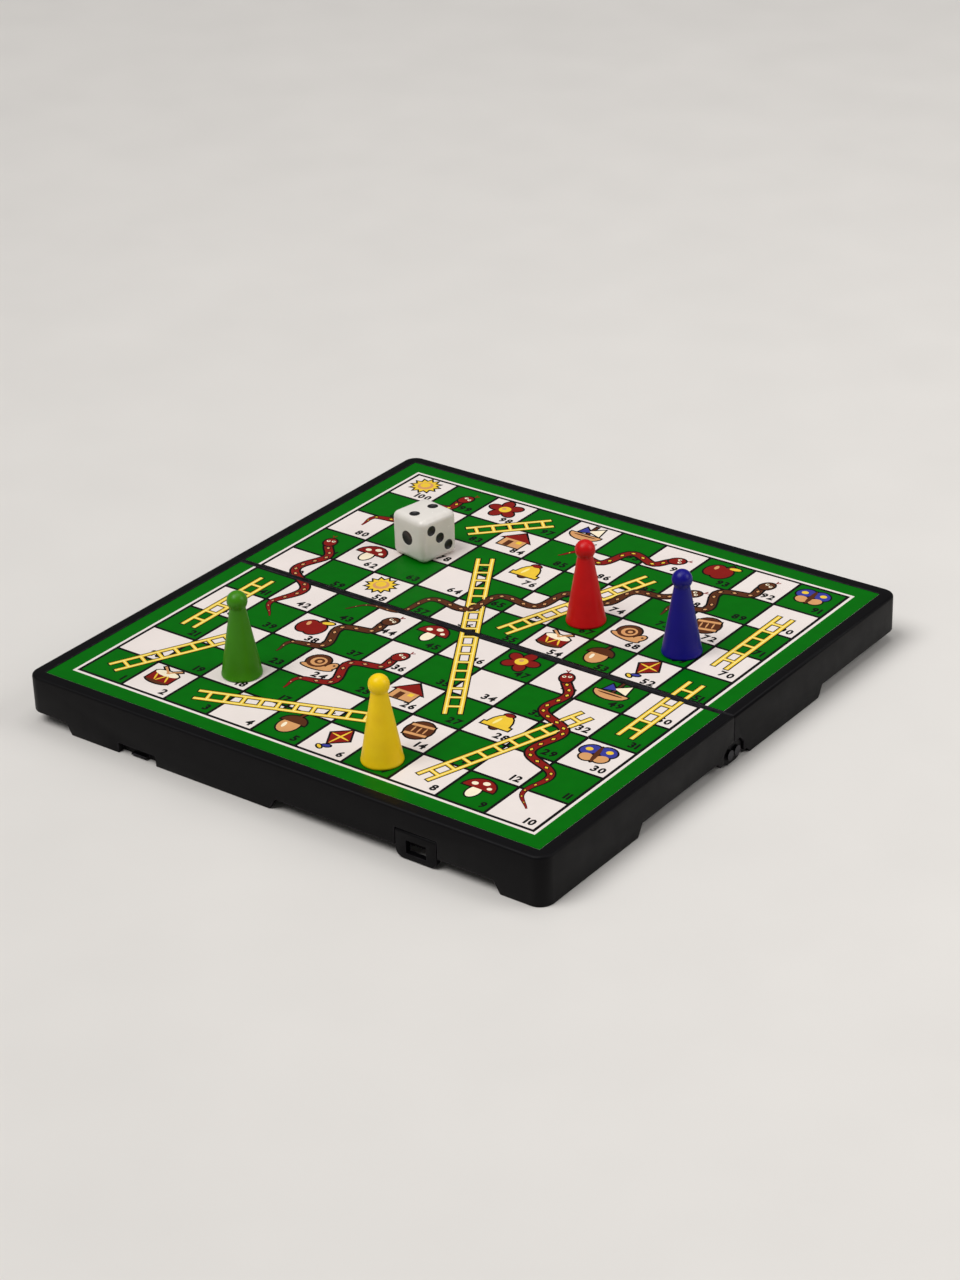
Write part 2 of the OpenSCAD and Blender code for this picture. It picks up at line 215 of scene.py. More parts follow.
def worn_edges(material, colour):
    """Mixes a lighter grey in on the eased edges: partly wear, partly a painted highlight."""
    tree = material.node_tree
    shader = tree.nodes["Principled BSDF"]
    clean = shader.inputs["Base Color"].links[0].from_socket
    spot = tree.nodes["Texture Coordinate"].outputs["Object"]
    wear_and_highlight = tree.nodes.new("ShaderNodeAttribute")
    wear_and_highlight.attribute_name = "wear_and_highlight"
    wear_and_highlight_mask = tree.nodes.new("ShaderNodeMath")
    wear_and_highlight_mask.operation = "MULTIPLY"
    tree.links.new(wear_and_highlight.outputs["Fac"], wear_and_highlight_mask.inputs[0])
    wear_and_highlight_breakup = ranged(tree, noise_of(tree, spot, wear_and_highlight_blot, cloud_detail), 0.0, wear_and_highlight_most)
    tree.links.new(wear_and_highlight_breakup, wear_and_highlight_mask.inputs[1])
    blend = tree.nodes.new("ShaderNodeMix")
    blend.data_type = "RGBA"
    # A Mix node has its two colours at inputs 6 and 7 and the mixed one at output 2.
    blend.inputs[7].default_value = srgb(*colour) + [1]
    tree.links.new(wear_and_highlight_mask.outputs[0], blend.inputs[0])
    tree.links.new(clean, blend.inputs[6])
    tree.links.new(blend.outputs[2], shader.inputs["Base Color"])


# Lightens the eased edges of the case: partly wear, partly a painted highlight.
worn_edges(case_plastic, wear_and_highlight_grey)
print("made", case_plastic.name)

# %% [markdown]
# ### Metals, magnets and paints
# The steel sheet is tinplate with faint rolling lines, so its noise is stretched along X. The pins are turned
# steel, blackened so that they don't stand out. The magnets are dull sintered ferrite. The pawns are satin
# mouldings and the die is a glossy one, all with a soft waviness where the plastic shrank as it cooled.

# %% Metals, magnets and paints
tinplate = finish(
    "tinplate", (196, 196, 200), rough=(0.26, 0.4), shade=0.05,
    cloud=8 * mm, grain=0.5 * mm, depth=0.004 * mm, stretch=(0.06, 1, 1),
)
pin_steel = finish(
    "pin_steel", (52, 51, 55), rough=(0.3, 0.45), shade=0.12,
    cloud=2 * mm, grain=0.2 * mm, depth=0.004 * mm,
)
for metal in (tinplate, pin_steel):
    metal.node_tree.nodes["Principled BSDF"].inputs["Metallic"].default_value = 1.0
ferrite = finish(
    "ferrite", (58, 57, 60), rough=(0.6, 0.8), shade=0.2,
    cloud=2 * mm, grain=0.3 * mm, depth=0.02 * mm,
)
pawn_colours = {"green": (62, 134, 10), "yellow": (255, 208, 8), "red": (205, 12, 16), "blue": (16, 10, 124)}
pawn_plastic = {}
for hue, colour in pawn_colours.items():
    pawn_plastic[hue] = finish(
        hue + "_plastic", colour, rough=(0.3, 0.4), shade=0.06,
        cloud=7 * mm, grain=3 * mm, depth=0.03 * mm, shine=0.25,
    )
die_plastic = finish(
    "die_plastic", (232, 226, 218), rough=(0.18, 0.28), shade=0.03,
    cloud=6 * mm, grain=3 * mm, depth=0.03 * mm,
)
pip_paint = finish(
    "pip_paint", (20, 18, 20), rough=(0.28, 0.42), shade=0.2,
    cloud=1.5 * mm, grain=0.3 * mm, depth=0.01 * mm,
)
print("made", len(bpy.data.materials), "finishes")

# %% [markdown]
# ## From mesh to piece
# Every new piece ends in the same steps: the mesh becomes an object at the origin, gets its finish, is shaded
# smooth except across real edges, and rides on a body of the frame.


# %% A helper that settles a piece
crease = math.radians(32)


def settle(name, bm, material, body, slot, *stands_for):
    """Makes the mesh a piece that rides on a body, and hides the solids that it stands for."""
    mesh = bpy.data.meshes.new(name)
    bm.to_mesh(mesh)
    bm.free()
    mesh.materials.append(material)
    mesh.polygons.foreach_set("use_smooth", [True] * len(mesh.polygons))
    mesh.set_sharp_from_angle(angle=crease)
    piece = bpy.data.objects.new(name, mesh)
    bpy.context.scene.collection.objects.link(piece)
    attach(piece, body)
    if stands_for:
        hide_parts(*stands_for)
    return piece


def dress(node, material):
    """Gives a solid that is kept as it is its finish."""
    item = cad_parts[node]
    item.data.materials.clear()
    item.data.materials.append(material)


# %% [markdown]
# ## Case halves, latch loops and hinge links
# These mouldings are already right as solids, but a solid has knife edges and a moulding doesn't. A copy of
# the solid is merged, its flat faces are joined, and its sharp edges get a small round. Along the fold the
# pin bosses are crowded, so there only the long edges are rounded. The faces of the round are marked for the
# lighter edge grey, partly wear and partly a painted highlight, which the case plastic reads.


# %% Ease the edges of a solid
merge_before = 0.005 * mm
merge_after = 0.003 * mm
sliver = 0.001 * mm
flat_angle = math.radians(0.3)
sharp_angle = math.radians(40)


def eased_copy(node, round_over, shortest, fold_zone=0, fold_shortest=0):
    """A merged copy of a solid with its sharp edges rounded and marked for the grey of wear and painted
    highlight.
    """
    bm = bmesh.new()
    bm.from_mesh(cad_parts[node].data)
    bmesh.ops.remove_doubles(bm, verts=bm.verts, dist=merge_before)
    bmesh.ops.dissolve_limit(bm, angle_limit=flat_angle, verts=bm.verts, edges=bm.edges)
    wear_and_highlight = bm.faces.layers.float.new("wear_and_highlight")
    sharp = []
    for edge in bm.edges:
        middle = (edge.verts[0].co + edge.verts[1].co) / 2
        least = fold_shortest if abs(middle.y) < fold_zone else shortest
        if edge.is_manifold and edge.calc_face_angle() > sharp_angle and edge.calc_length() > least:
            sharp.append(edge)
    made = bmesh.ops.bevel(
        bm,
        geom=sharp,
        offset=round_over,
        affect="EDGES",
        segments=2,
        profile=0.5,
        material=-1,
        clamp_overlap=False,
    )
    for face in made["faces"]:
        face[wear_and_highlight] = 1.0
    bmesh.ops.remove_doubles(bm, verts=bm.verts, dist=merge_after)
    bmesh.ops.dissolve_degenerate(bm, dist=sliver, edges=bm.edges)
    bmesh.ops.triangulate(bm, faces=[face for face in bm.faces if len(face.verts) > 4])
    return bm


for half in ("front", "back"):
    tray = eased_copy(
        half + "_tray", round_over=0.35 * mm, shortest=0.3 * mm, fold_zone=8 * mm, fold_shortest=2 * mm
    )
    settle(half + "_case_half", tray, case_plastic, half + "_half", "case_plastic", half + "_tray")
    loop = eased_copy(half + "_latch_loop", round_over=0.12 * mm, shortest=0.05 * mm)
    settle(half + "_latch", loop, case_plastic, half + "_latch", "case_plastic", half + "_latch_loop")
for side in ("left", "right"):
    link = eased_copy(side + "_hinge_link", round_over=0.25 * mm, shortest=0.05 * mm)
    settle(side + "_link", link, case_plastic, "hinge_links", "case_plastic", side + "_hinge_link")

# %% [markdown]
# ## Hidden metal
# The steel sheets, hinge pins and magnets are plain pressed or turned shapes, so the solids stay and only get
# their finish.

# %% Dress the kept solids
for half in ("front", "back"):
    dress(half + "_steel_sheet", tinplate)
    dress(half + "_hinge_pins", pin_steel)
for hue in pawn_colours:
    dress(hue + "_pawn_magnet", ferrite)
print("dressed steel, pins and magnets")

# %% [markdown]
# ## Playing sheets
# A playing sheet is white card stock under a satin laminate, cut to fit the recess of its half. Each is a box
# of the solid's own size with its cut edges just broken.

# %% Playing sheets
paper_white = finish(
    "paper_white", (237, 226, 220), rough=(0.3, 0.42), shade=0.02,
    cloud=14 * mm, grain=0.5 * mm, depth=0.006 * mm, shine=0.2,
)
cut_edge = 0.06 * mm
for half in ("front", "back"):
    low, high = (Vector(corner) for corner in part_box(half + "_print_sheet"))
    size = high - low
    bm = bmesh.new()
    fit = Matrix.Translation((low + high) / 2) @ Matrix.Diagonal((*size, 1))
    bmesh.ops.create_cube(bm, size=1, matrix=fit)
    bmesh.ops.bevel(
        bm, geom=bm.edges, offset=cut_edge, affect="EDGES", segments=1, profile=0.5, material=-1
    )
    settle(
        half + "_playing_sheet", bm, paper_white, half + "_half", "printed_sheet", half + "_print_sheet"
    )
sheet_edge, fold_edge, face_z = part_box("front_print_sheet")[1]
seam = -fold_edge
print("sheet face at", round(face_z / mm, 2), "mm, edge at", round(sheet_edge / mm, 2), "mm")

# %% [markdown]
# ## Inks
# The print is built as a screen printer builds it: one film per colour, each a hair thicker than the last
# where they cross. A film is drawn flat for the whole board, then cut at the fold and given its thickness, so
# that a snake can run over the seam and still ride on both halves. Real shapes stay crisp at any distance,
# which a painted image wouldn't.

# %% Ink colours and films
ink_colours = {
    "green": (2, 103, 9),
    "black": (17, 15, 16),
    "gold": (238, 198, 60),
    "straw": (252, 232, 146),
    "brick": (134, 27, 22),
    "brown": (88, 47, 26),
    "tan": (214, 156, 102),
    "cream": (250, 236, 206),
    "blue": (58, 62, 150),
}
ink_finish = {}
film = {}
for ink, colour in ink_colours.items():
    ink_finish[ink] = finish(
        ink + "_ink", colour, rough=(0.3, 0.42), shade=0.05,
        cloud=5 * mm, grain=0.5 * mm, depth=0.006 * mm, shine=0.06,
    )
    film[ink] = bmesh.new()
    film[ink].verts.layers.float.new("rise")


def laid(ink, verts, rise):
    """Says how far above the sheet the top of these points lies."""
    height = film[ink].verts.layers.float["rise"]
    for vert in verts:
        vert[height] = rise * mm
    return verts


def spot_of(x, y, half_x, half_y, turn=0):
    """The matrix that puts a shape of radius 1 at a place, in millimetres and degrees."""
    move = Matrix.Translation((x * mm, y * mm, 0))
    stretch = Matrix.Diagonal((half_x * mm, half_y * mm, 1, 1))
    return move @ Matrix.Rotation(math.radians(turn), 4, "Z") @ stretch


def disc(ink, rise, x, y, half_x, half_y, turn=0, sides=18):
    """An oval, or with few sides a triangle or a diamond."""
    place = spot_of(x, y, half_x, half_y, turn)
    made = bmesh.ops.create_circle(film[ink], cap_ends=True, segments=sides, radius=1, matrix=place)
    return laid(ink, made["verts"], rise)


def patch(ink, rise, x, y, half_x, half_y, turn=0):
    """A rectangle."""
    place = spot_of(x, y, half_x, half_y, turn)
    made = bmesh.ops.create_grid(film[ink], x_segments=1, y_segments=1, size=1, matrix=place)
    return laid(ink, made["verts"], rise)


def stroke(ink, rise, start, end, width):
    """A straight line of some width between two points."""
    run = Vector(end) - Vector(start)
    middle = (Vector(start) + Vector(end)) / 2
    turn = math.degrees(math.atan2(run.y, run.x))
    return patch(ink, rise, middle.x, middle.y, run.length / 2, width / 2, turn)


print("inks:", ", ".join(film))

# %% [markdown]
# ## Squares, grid and border
# One hundred squares of 22 mm alternate green and white. White is the bare sheet, so only green is printed.
# Black lines cover every joint between colours, a thin white line is left open round the field, and a green
# border runs out to the rim.

# %% Squares, grid and border
cell = 22
squares = 10
field = cell * squares / 2
line = 1.3
white_line = 1.3
under_line = 0.05
open_edge = field + line / 2 + white_line
edge = sheet_edge / mm
ring_slack = 0.1
green_rise = 0.012
row_line_rise = 0.022
column_line_rise = 0.024


def square_of(number):
    """Column and row of a square; the count runs to and fro from the front left."""
    row, step = divmod(number - 1, squares)
    return (step if row % 2 == 0 else squares - 1 - step), row


def centre_of(number):
    """The middle of a square in millimetres."""
    column, row = square_of(number)
    return Vector(((column + 0.5) * cell - field, (row + 0.5) * cell - field))


for number in range(1, squares * squares + 1, 2):
    patch("green", green_rise, *centre_of(number), cell / 2 - under_line, cell / 2 - under_line)
plate_corners = patch("green", green_rise, 0, 0, edge, edge)
plate = plate_corners[0].link_faces[0]
bmesh.ops.inset_individual(
    film["green"], faces=[plate], thickness=(edge - open_edge) * mm, use_even_offset=True
)
bmesh.ops.delete(film["green"], geom=[plate], context="FACES_ONLY")
ring_from = (open_edge - ring_slack) * mm
border = [vert for vert in film["green"].verts if max(abs(vert.co.x), abs(vert.co.y)) > ring_from]
laid("green", border, green_rise)
line_reach = field + line / 2
for step in range(squares + 1):
    across = step * cell - field
    patch("black", column_line_rise, across, 0, line / 2, line_reach)
    if across:
        patch("black", row_line_rise, 0, across, line_reach, line / 2)
for side in (-1, 1):
    patch("black", row_line_rise, 0, side * (seam / mm + line / 4), line_reach, line / 4)
print("green patches:", len(film["green"].faces), "lines:", len(film["black"].faces))

# %% [markdown]
# ## Numbers
# Each square has its number in the corner nearest the reader's right hand. Blender's own font gives the ten
# digits as flat meshes; each is scaled to one height and stamped where it is needed.

# %% Numbers
digit_high = 4.3
digit_space = 0.55
corner_gap = 2.3
digit_smooth = 2
digit_bold = 0.04
digit_merge = 1e-4
digit_rise = 0.034
digits = {}
for sign in "0123456789":
    letters = bpy.data.curves.new("digit_" + sign, "FONT")
    letters.body = sign
    letters.resolution_u = digit_smooth
    letters.offset = digit_bold
    holder = bpy.data.objects.new("digit_" + sign, letters)
    shape = bpy.data.meshes.new_from_object(holder)
    bpy.data.objects.remove(holder)
    bm = bmesh.new()
    bm.from_mesh(shape)
    bmesh.ops.remove_doubles(bm, verts=bm.verts, dist=digit_merge)
    bmesh.ops.beautify_fill(bm, faces=bm.faces, edges=[edge for edge in bm.edges if edge.is_manifold])
    tall = max(v.co.y for v in bm.verts) - min(v.co.y for v in bm.verts)
    bmesh.ops.scale(bm, vec=(digit_high * mm / tall,) * 3, verts=bm.verts)
    shift = Vector((min(v.co.x for v in bm.verts), min(v.co.y for v in bm.verts), 0))
    bmesh.ops.translate(bm, vec=-shift, verts=bm.verts)
    wide = max(v.co.x for v in bm.verts) / mm
    bm.to_mesh(shape)
    bm.free()
    digits[sign] = (shape, wide)


def stamp(sign, x, y):
    """Prints one digit with its lower left corner at a place."""
    before = len(film["black"].verts)
    film["black"].from_mesh(digits[sign][0])
    film["black"].verts.ensure_lookup_table()
    new = film["black"].verts[before:]
    bmesh.ops.translate(film["black"], vec=(x * mm, y * mm, 0), verts=new)
    laid("black", new, digit_rise)


for number in range(1, squares * squares + 1):
    place = centre_of(number)
    x = place.x + cell / 2 - corner_gap
    y = place.y - cell / 2 + corner_gap
    for sign in reversed(str(number)):
        x -= digits[sign][1]
        stamp(sign, x, y)
        x -= digit_space
print("black film now has", len(film["black"].faces), "faces")

# %% [markdown]
# ## Ladders
# A printed ladder is two rails and its rungs, gold with a dark outline and a pale line of light along each
# bar. Every bar is laid three times, each narrower and a little higher than the last.

# %% Ladders
ladders = [(1, 22), (3, 15), (8, 32), (27, 77), (21, 41), (31, 51), (55, 87), (83, 97), (70, 90)]
ladder_wide = 7.8
rail = 1.8
rung_step = 7.2
outline = 0.5
light_share = 0.28
rung_share = 0.85
past_middle = 3
rung_rise = 0.040
rail_rise = 0.044
gold_over = 0.014
light_over = 0.022


def bar(start, end, width, rise):
    """A gold bar with a dark outline and a line of light."""
    along = (Vector(end) - Vector(start)).normalized() * outline
    stroke("black", rise, Vector(start) - along, Vector(end) + along, width + 2 * outline)
    stroke("gold", rise + gold_over, start, end, width)
    stroke("straw", rise + light_over, start, end, width * light_share)


for foot, top in ladders:
    start = centre_of(foot)
    end = centre_of(top)
    up = (end - start).normalized()
    out = Vector((-up.y, up.x)) * (ladder_wide - rail) / 2
    start = start - up * past_middle
    end = end + up * past_middle
    count = int((end - start).length // rung_step)
    margin = ((end - start).length - rung_step * (count - 1)) / 2
    for rung in range(count):
        middle = start + up * (margin + rung * rung_step)
        bar(middle - out, middle + out, rail * rung_share, rung_rise)
    for side in (-1, 1):
        bar(start + side * out, end + side * out, rail, rail_rise)
print("ladders:", len(ladders), "gold bars:", len(film["gold"].faces))

# %% [markdown]
# ## Snakes
# A snake is a ribbon that follows a wavy line from the head's square to the tail's. A flat grid is made once
# per ribbon and each of its points is moved to its place along the line, so the ribbon keeps its width round
# every bend. A wide black ribbon gives the outline, a narrower one the skin, and diamonds the markings.

# %% Snakes
snakes = [(99, 80), (92, 73), (61, 39), (48, 10), (44, 23), (36, 17), (94, 85), (88, 43)]
snake_inks = (("brick", "gold"), ("brown", "tan"), ("brick", "tan"))
snake_wide = 5.0
snake_outline = 1.7
wave_long = 30
wide_swing = 5.2
small_swing = 3.6
head_calm = 5
tail_calm = 4
tail_swing = 0.25
slope_step = 0.004


def snake_line(head, tail):
    """A function that gives the snake's middle line and its sideways direction from 0 at the head to 1."""
    start = centre_of(head)
    run = centre_of(tail) - start
    aside = Vector((-run.y, run.x)).normalized()
    waves = max(1, round(run.length / wave_long))
    swing = wide_swing if run.length > wave_long else small_swing

    def at(share):
        calm = min(1, share * head_calm, (1 - share) * tail_calm + tail_swing)
        return start + run * share + aside * swing * calm * math.sin(math.tau * waves * share)

    def place(share):
        here = at(share)
        flow = (at(min(share + slope_step, 1)) - at(max(share - slope_step, 0))).normalized()
        return here, Vector((-flow.y, flow.x))

    return place, run.length


tail_fine = 0.16
tail_grow = 2.6


def ribbon(ink, rise, place, steps, width):
    """A ribbon along a snake's line, full for most of its length and fine at the tail."""
    made = bmesh.ops.create_grid(film[ink], x_segments=steps, y_segments=1, size=1)
    for vert in made["verts"]:
        share = (vert.co.x + 1) / 2
        here, aside = place(share)
        taper = min(1, tail_fine + tail_grow * (1 - share))
        spot = here + aside * vert.co.y * (width * taper / 2)
        vert.co = (spot.x * mm, spot.y * mm, 0)
    laid(ink, made["verts"], rise)


def turn_of(aside):
    """The turn in degrees of a shape that lies along a snake."""
    return math.degrees(math.atan2(aside.y, aside.x)) - 90


print("snake lines:", len(snakes))

# %% [markdown]
# ### Skins, markings and heads
# The layers of a snake are given their heights in one table, from the outline at the bottom to the pupil on
# top, so that no two of them lie level where they cross.

# %% Lay the snakes
snake_rise = {
    "outline": 0.060, "fork": 0.064, "tongue": 0.066, "skin": 0.070, "head outline": 0.074,
    "mark outline": 0.078, "head": 0.082, "mark": 0.084, "eye": 0.088, "pupil": 0.094,
}
ribbon_step = 1.6
mark_step = 4.2
mark_fine = 0.3
mark_grow = 2.2
mark_sides = 4


def markings(place, long, ink):
    """Diamonds along a snake's back, smaller towards the tail."""
    marks = int(long / mark_step)
    for spot in range(1, marks):
        share = spot / marks
        here, aside = place(share)
        small = min(1, mark_fine + mark_grow * (1 - share))
        turn = turn_of(aside)
        disc("black", snake_rise["mark outline"], *here, 1.75 * small, 1.3 * small, turn, mark_sides)
        disc(ink, snake_rise["mark"], *here, 1.05 * small, 0.72 * small, turn, mark_sides)


def snake_head(place, skin):
    """An oval head with two eyes and a forked tongue, in millimetres from the start of the line."""
    here, aside = place(0)
    front = Vector((-aside.y, aside.x))
    middle = here + front * 1.2
    disc("black", snake_rise["head outline"], *middle, 4.4, 3.5, turn_of(aside))
    disc(skin, snake_rise["head"], *middle, 3.6, 2.7, turn_of(aside))
    for side in (-1, 1):
        eye_at = here + front * 2.2 + aside * side * 1.15
        disc("cream", snake_rise["eye"], *eye_at, 0.85, 0.85, 0, 12)
        disc("black", snake_rise["pupil"], *(eye_at + front * 0.2), 0.42, 0.42, 0, 10)
        fork = here + front * 7.6 + aside * side * 0.9
        stroke("brick", snake_rise["fork"], here + front * 6.1, fork, 0.5)
    stroke("brick", snake_rise["tongue"], here + front * 4.2, here + front * 6.3, 0.55)


for number, (head, tail) in enumerate(snakes):
    skin, mark = snake_inks[number % len(snake_inks)]
    place, long = snake_line(head, tail)
    steps = int(long / ribbon_step)
    ribbon("black", snake_rise["outline"], place, steps, snake_wide)
    ribbon(skin, snake_rise["skin"], place, steps, snake_wide - snake_outline)
    markings(place, long, mark)
    snake_head(place, skin)
print("snakes:", len(snakes))

# %% [markdown]
# ## Small pictures
# Many squares carry a small picture in browns, reds and golds with a dark outline. Each picture is a short
# list of ovals, half ovals, boxes and stars in millimetres about its middle. All outlines are laid first and
# the colours over them, so the parts of a picture join as if drawn in one go.

# %% Picture parts
pictures = {
    "mushroom": [
        ("disc", "cream", 0, -2.6, 2.2, 3.6, 0),
        ("dome", "brick", 0, -0.4, 6.0, 6.0, 0),
        ("dot", "cream", -2.6, 1.9, 1.2, 1.0, 0),
        ("dot", "cream", 0.9, 3.4, 1.3, 1.1, 0),
        ("dot", "cream", 3.5, 1.2, 0.9, 0.8, 0),
    ],
    "flower": [
        ("disc", "brick", 0.0, 4.0, 2.1, 2.9, 0),
        ("disc", "brick", 3.8, 1.24, 2.1, 2.9, -72),
        ("disc", "brick", 2.35, -3.24, 2.1, 2.9, -144),
        ("disc", "brick", -2.35, -3.24, 2.1, 2.9, 144),
        ("disc", "brick", -3.8, 1.24, 2.1, 2.9, 72),
        ("disc", "gold", 0, 0, 2.4, 2.4, 0),
        ("dot", "tan", -0.5, 0.5, 0.9, 0.9, 0),
    ],
    "apple": [
        ("patch", "brown", 0.5, 4.6, 0.45, 1.8, -16),
        ("disc", "brick", -1.8, -0.6, 3.6, 4.6, 0),
        ("disc", "brick", 1.8, -0.6, 3.6, 4.6, 0),
        ("disc", "gold", 3.0, 5.0, 2.3, 1.0, 24),
        ("dot", "tan", -2.8, 1.2, 0.8, 1.5, 20),
    ],
    "acorn": [
        ("disc", "tan", 0, -1.8, 3.8, 4.9, 0),
        ("dome", "brown", 0, 0.2, 5.0, 4.4, 0),
        ("patch", "brown", 0.2, 5.3, 0.5, 1.3, -10),
        ("dot", "cream", -1.5, -2.4, 0.7, 1.8, 10),
    ],
    "boat": [
        ("patch", "brown", 0, 1.6, 0.4, 4.6, 0),
        ("sail", "cream", 2.6, 2.2, 3.6, 3.6, -20),
        ("sail", "blue", -2.3, 1.5, 2.7, 2.7, 18),
        ("bowl", "tan", 0, -1.4, 6.6, 4.4, 0),
        ("dot", "brown", 0, -2.5, 5.0, 0.45, 0),
    ],
    "kite": [
        ("kite", "brick", 0, 1.4, 4.4, 5.6, 0),
        ("dot", "gold", 0, 1.4, 0.4, 5.2, 0),
        ("dot", "gold", 0, 1.4, 4.0, 0.4, 0),
        ("disc", "blue", 0.9, -5.6, 1.5, 0.7, 24),
        ("disc", "gold", -0.6, -7.4, 1.3, 0.6, -24),
    ],
    "butterfly": [
        ("disc", "blue", -3.2, 2.3, 3.5, 2.8, 38),
        ("disc", "blue", 3.2, 2.3, 3.5, 2.8, -38),
        ("disc", "tan", -2.6, -2.4, 2.6, 2.2, -30),
        ("disc", "tan", 2.6, -2.4, 2.6, 2.2, 30),
        ("disc", "brown", 0, 0, 0.95, 5.0, 0),
        ("dot", "gold", -3.6, 2.5, 1.3, 1.1, 0),
        ("dot", "gold", 3.6, 2.5, 1.3, 1.1, 0),
    ],
    "house": [
        ("patch", "tan", 0, -2.4, 4.6, 3.4, 0),
        ("sail", "brick", 0, 2.0, 6.8, 4.0, 0),
        ("patch", "brown", -1.4, -3.5, 1.2, 2.2, 0),
        ("patch", "gold", 2.2, -1.6, 1.0, 1.0, 0),
    ],
    "drum": [
        ("disc", "brown", 0, -2.9, 4.9, 1.7, 0),
        ("patch", "brick", 0, -0.2, 4.9, 2.8, 0),
        ("disc", "cream", 0, 2.6, 4.9, 1.8, 0),
        ("dot", "gold", -2.4, -0.6, 0.35, 2.3, 24),
        ("dot", "gold", 0, -0.8, 0.35, 2.3, -24),
        ("dot", "gold", 2.4, -0.6, 0.35, 2.3, 24),
        ("patch", "tan", -1.6, 4.5, 0.4, 2.8, 50),
        ("patch", "tan", 1.6, 4.5, 0.4, 2.8, -50),
    ],
    "snail": [
        ("disc", "tan", 0.6, -3.4, 6.2, 1.6, 0),
        ("disc", "tan", 5.2, -1.2, 1.7, 2.8, -18),
        ("disc", "brown", -0.9, 0.4, 4.4, 4.4, 0),
        ("dot", "tan", -0.7, 0.2, 3.0, 3.0, 0),
        ("dot", "brown", -0.5, 0.4, 1.9, 1.9, 0),
        ("dot", "tan", -0.4, 0.3, 0.9, 0.9, 0),
        ("dot", "black", 5.8, -0.2, 0.5, 0.5, 0),
    ],
    "sun": [
        ("star", "gold", 0, 0.6, 5.6, 5.6, 0),
        ("disc", "tan", 0, 0.6, 3.1, 3.1, 0),
        ("dot", "gold", -0.5, 1.1, 2.0, 2.0, 0),
    ],
    "bell": [
        ("disc", "brown", 0, -3.6, 1.5, 1.5, 0),
        ("dome", "gold", 0, -2.4, 4.3, 7.4, 0),
        ("patch", "gold", 0, -2.7, 5.4, 0.9, 0),
        ("disc", "brick", 0, 5.2, 1.8, 1.1, 0),
        ("dot", "straw", -1.5, 0.2, 0.6, 2.4, -8),
    ],
    "barrel": [
        ("disc", "brown", 0, 0, 4.9, 5.8, 0),
        ("patch", "tan", 0, 2.9, 4.2, 0.7, 0),
        ("patch", "tan", 0, -2.9, 4.2, 0.7, 0),
        ("dot", "tan", 0, 0, 0.3, 2.0, 0),
        ("dot", "tan", -2.2, 0, 0.3, 1.9, 0),
        ("dot", "tan", 2.2, 0, 0.3, 1.9, 0),
    ],
}
print("pictures:", ", ".join(pictures))


# %% Lay the pictures
star_points = 24
star_dip = 0.7


def part_shape(shape, ink, rise, x, y, half_x, half_y, turn, grow):
    """One part of a picture, grown by its outline where one is asked for."""
    wide = half_x + grow
    high = half_y + grow
    if shape == "patch":
        return patch(ink, rise, x, y, wide, high, turn)
    if shape == "sail":
        return disc(ink, rise, x, y, wide + grow, high + grow, turn, 3)
    if shape == "kite":
        return disc(ink, rise, x, y, wide + grow / 2, high + grow / 2, turn, 4)
    if shape == "star":
        tips = disc(ink, rise, x, y, wide + grow, high + grow, turn, star_points)
        to_middle = Matrix.Translation((-x * mm, -y * mm, 0))
        bmesh.ops.scale(film[ink], vec=(star_dip, star_dip, 1), space=to_middle, verts=tips[::2])
        return tips
    made = disc(ink, rise, x, y, wide, high, turn)
    if shape in ("dome", "bowl"):
        faces = {face for vert in made for face in vert.link_faces}
        edges = {item for vert in made for item in vert.link_edges}
        flip = 1 if shape == "dome" else -1
        bmesh.ops.bisect_plane(
            film[ink],
            geom=[*made, *edges, *faces],
            plane_co=(x * mm, (y - flip * grow) * mm, 0),
            plane_no=(0, -flip, 0),
            clear_outer=True,
        )
    return made


picture_scale = 1.15
picture_line = 0.75
picture_shift = Vector((-1.2, 2.3))
picture_line_rise = 0.030
picture_rise = 0.042
part_over = 0.006
upright = ("house", "boat", "drum", "bell", "acorn", "mushroom")
lean_step = 37
lean_span = 31
lean_most = 15


def picture(name, number, lean):
    """Lays one picture a little above the middle of its square."""
    middle = centre_of(number) + picture_shift
    rise = picture_rise
    for shape, ink, x, y, half_x, half_y, turn in pictures[name]:
        place = middle + Matrix.Rotation(math.radians(lean), 2) @ Vector((x, y)) * picture_scale
        wide = half_x * picture_scale
        high = half_y * picture_scale
        spin = 0 if shape in ("dome", "bowl") else turn + lean
        if shape != "dot":
            part_shape(shape, "black", picture_line_rise, *place, wide, high, spin, picture_line)
        part_shape(shape, ink, rise, *place, wide, high, spin, 0)
        rise += part_over


picture_squares = {
    2: "drum", 5: "acorn", 6: "kite", 9: "mushroom", 14: "barrel", 24: "snail", 26: "house", 28: "bell",
    30: "butterfly", 38: "apple", 45: "mushroom", 47: "flower", 49: "boat", 52: "kite", 53: "acorn",
    54: "drum", 58: "sun", 62: "mushroom", 68: "snail", 72: "barrel", 76: "bell", 84: "house",
    91: "butterfly", 93: "apple", 96: "boat", 98: "flower", 100: "sun",
}
for number, name in picture_squares.items():
    lean = 0 if name in upright else (number * lean_step) % lean_span - lean_most
    picture(name, number, lean)
print("squares with a picture:", len(picture_squares))

# %% [markdown]
# ## Cut and print the films
# Each film is now cut along the inner edge of each sheet and extruded: the flat faces stay on the sheet, a
# copy of them is raised by each point's own height, and walls close the rim.


